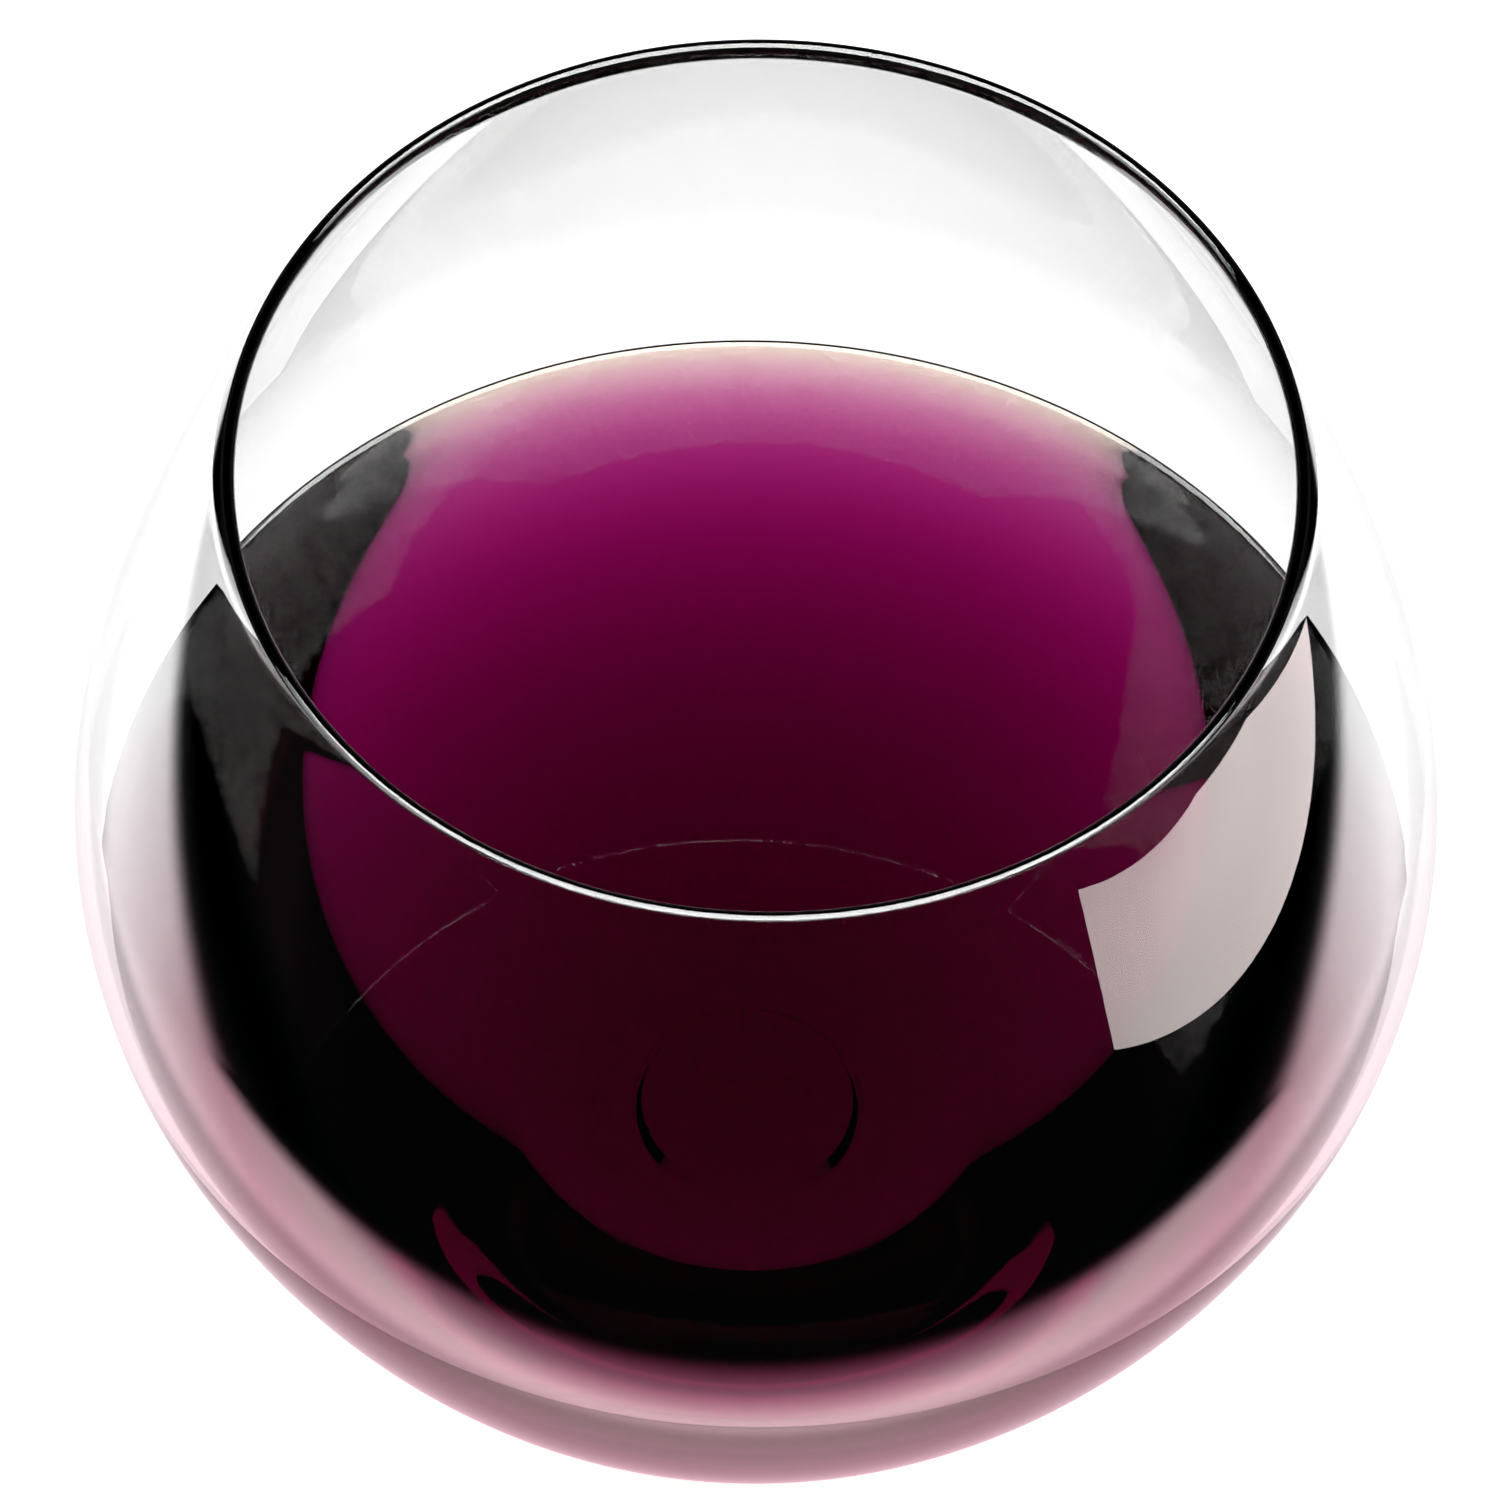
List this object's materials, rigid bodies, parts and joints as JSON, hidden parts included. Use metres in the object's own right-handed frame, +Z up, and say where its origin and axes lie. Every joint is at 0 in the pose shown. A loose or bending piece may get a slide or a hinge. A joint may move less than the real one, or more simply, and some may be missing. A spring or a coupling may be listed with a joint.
{
  "type": "stemless glass of red wine",
  "caption": "Round-bellied stemless wine glass on a small dimpled foot, filled with dark red wine to just below its widest place.",
  "frame": {"origin": "centre of the glass's foot, on the surface that it stands on", "axes": "+Z up along the glass's axis of turning; the glass is round, so +X and +Y have no side of their own"},
  "size_m": [0.1, 0.1, 0.097],
  "materials": {
    "clear_glass": "gloss",
    "red_wine": "gloss"
  },
  "bodies": {
    "root": {"glass": "clear_glass", "wine": "red_wine"}
  },
  "joints": []
}
